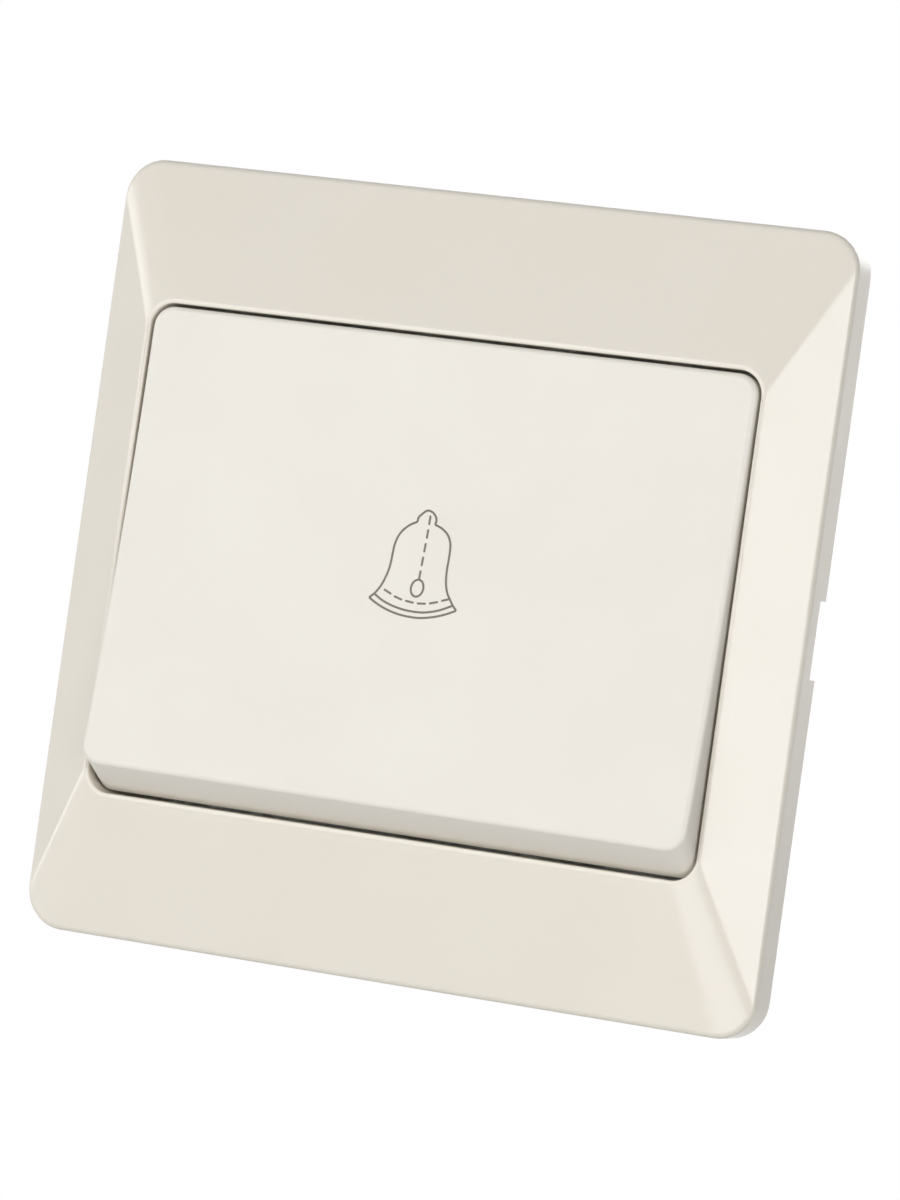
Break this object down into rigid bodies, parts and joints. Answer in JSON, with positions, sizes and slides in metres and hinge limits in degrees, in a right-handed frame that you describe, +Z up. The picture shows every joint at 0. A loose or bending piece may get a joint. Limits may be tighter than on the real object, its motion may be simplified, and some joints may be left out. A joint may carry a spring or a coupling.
{
  "type": "doorbell push button",
  "caption": "Square flush wall plate with a bevelled frame and a wide rocker key that closes a sprung bell contact when its lower edge is pressed.",
  "frame": {"origin": "middle of the cover frame on the wall's face, centred between the two fixing slots", "axes": "+X to the right seen from the front, +Y into the wall, +Z up"},
  "size_m": [0.08, 0.0335, 0.08],
  "materials": {
    "frame_plastic": "glossy cream moulded plastic",
    "key_plastic": "satin cream moulded plastic",
    "cradle_plastic": "plain moulded plastic",
    "mechanism_plastic": "matt moulded thermoset",
    "zinc_steel": "galvanised sheet",
    "screw_steel": "zinc plated",
    "spring_steel": "drawn wire",
    "brass": "stamped",
    "bronze": "rolled spring strip",
    "silver": "plain contact silver"
  },
  "bodies": {
    "wall_unit": {"cover_frame": "frame_plastic", "mounting_strap": "zinc_steel", "bearing_cover": "mechanism_plastic", "mechanism_base": "mechanism_plastic", "strap_screw_lower_left": "screw_steel", "strap_screw_lower_right": "screw_steel", "strap_screw_upper_left": "screw_steel", "strap_screw_upper_right": "screw_steel", "terminal_left": "brass", "terminal_right": "brass", "terminal_screw_left": "screw_steel", "terminal_screw_right": "screw_steel", "fixed_contact_strip": "brass", "fixed_contact_tip": "silver", "hinge_bracket": "brass", "arm_pin": "screw_steel", "arm_spring": "spring_steel", "return_spring_left": "spring_steel", "return_spring_right": "spring_steel"},
    "key": {"rocker_key": "key_plastic", "rocker_cradle": "cradle_plastic"},
    "arm": {"contact_arm": "bronze", "moving_contact_tip": "silver"}
  },
  "joints": [
    {"name": "key_rock", "type": "hinge", "parent": "wall_unit", "child": "key", "pos_m": [0, -0.004, 0], "axis": [1, 0, 0], "range_deg": [0, 5], "stiffness_Nm_per_rad": 0.3, "springref_deg": -5.73, "deforming": ["return_spring_left", "return_spring_right"]},
    {"name": "contact_swing", "type": "hinge", "parent": "wall_unit", "child": "arm", "pos_m": [0, 0.00785, 0.011], "axis": [1, 0, 0], "range_deg": [0, 2.5], "stiffness_Nm_per_rad": 0.01, "springref_deg": -5.73, "deforming": ["arm_spring"]}
  ],
  "couplings": [
    {"joint": "contact_swing", "follows": "key_rock", "ratio": 0.44}
  ]
}
